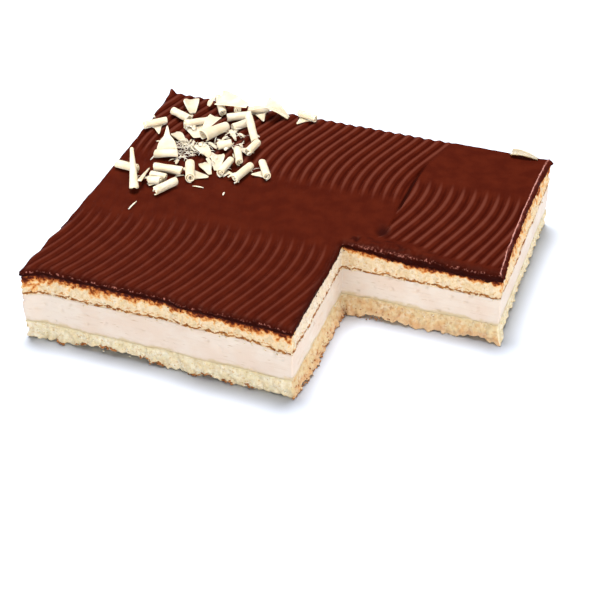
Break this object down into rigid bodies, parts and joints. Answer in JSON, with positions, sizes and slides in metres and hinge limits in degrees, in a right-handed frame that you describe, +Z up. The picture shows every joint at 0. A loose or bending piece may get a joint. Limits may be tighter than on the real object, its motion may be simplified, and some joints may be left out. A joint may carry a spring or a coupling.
{
  "type": "layer cake",
  "caption": "Rectangular sheet cake with a corner cut out: two sponge layers, a thick hazelnut cream filling, combed chocolate icing and white chocolate curls.",
  "frame": {"origin": "centre of the whole cake's rectangle, counted as if its corner had not been cut out, on the board that it stands on", "axes": "+X along the long front edge, with the cut-out corner at +X and -Y; +Y towards the back; +Z up"},
  "size_m": [0.241, 0.2009, 0.0572],
  "materials": {
    "bottom_sponge": "open, crumbly pale sponge",
    "hazelnut_cream": "smooth pale cream, slightly moist",
    "top_sponge": "crumbly sponge, toasted brown at its top and bottom skins",
    "chocolate_icing": "set chocolate icing, satin sheen on its combed ridges",
    "white_chocolate": "ivory, waxy and softly matt"
  },
  "bodies": {
    "root": {"bottom_sponge": "bottom_sponge", "hazelnut_cream": "hazelnut_cream", "top_sponge": "top_sponge", "chocolate_icing": "chocolate_icing", "white_curl_01": "white_chocolate", "white_curl_02": "white_chocolate", "white_curl_03": "white_chocolate", "white_curl_04": "white_chocolate", "white_curl_05": "white_chocolate", "white_curl_06": "white_chocolate", "white_curl_07": "white_chocolate", "white_curl_08": "white_chocolate", "white_curl_09": "white_chocolate", "white_curl_10": "white_chocolate", "white_curl_11": "white_chocolate", "white_curl_12": "white_chocolate", "white_curl_13": "white_chocolate", "white_curl_14": "white_chocolate", "white_curl_15": "white_chocolate", "white_curl_16": "white_chocolate", "white_curl_17": "white_chocolate", "white_curl_18": "white_chocolate", "white_curl_19": "white_chocolate", "white_curl_20": "white_chocolate", "white_curl_21": "white_chocolate", "white_curl_22": "white_chocolate", "white_curl_23": "white_chocolate", "white_curl_24": "white_chocolate", "white_curl_25": "white_chocolate", "white_curl_26": "white_chocolate", "white_curl_27": "white_chocolate", "white_curl_28": "white_chocolate", "white_curl_29": "white_chocolate", "white_curl_30": "white_chocolate", "white_curl_31": "white_chocolate", "white_curl_32": "white_chocolate", "white_curl_33": "white_chocolate", "white_curl_34": "white_chocolate", "white_curl_35": "white_chocolate", "white_curl_36": "white_chocolate", "white_curl_37": "white_chocolate"}
  },
  "joints": []
}
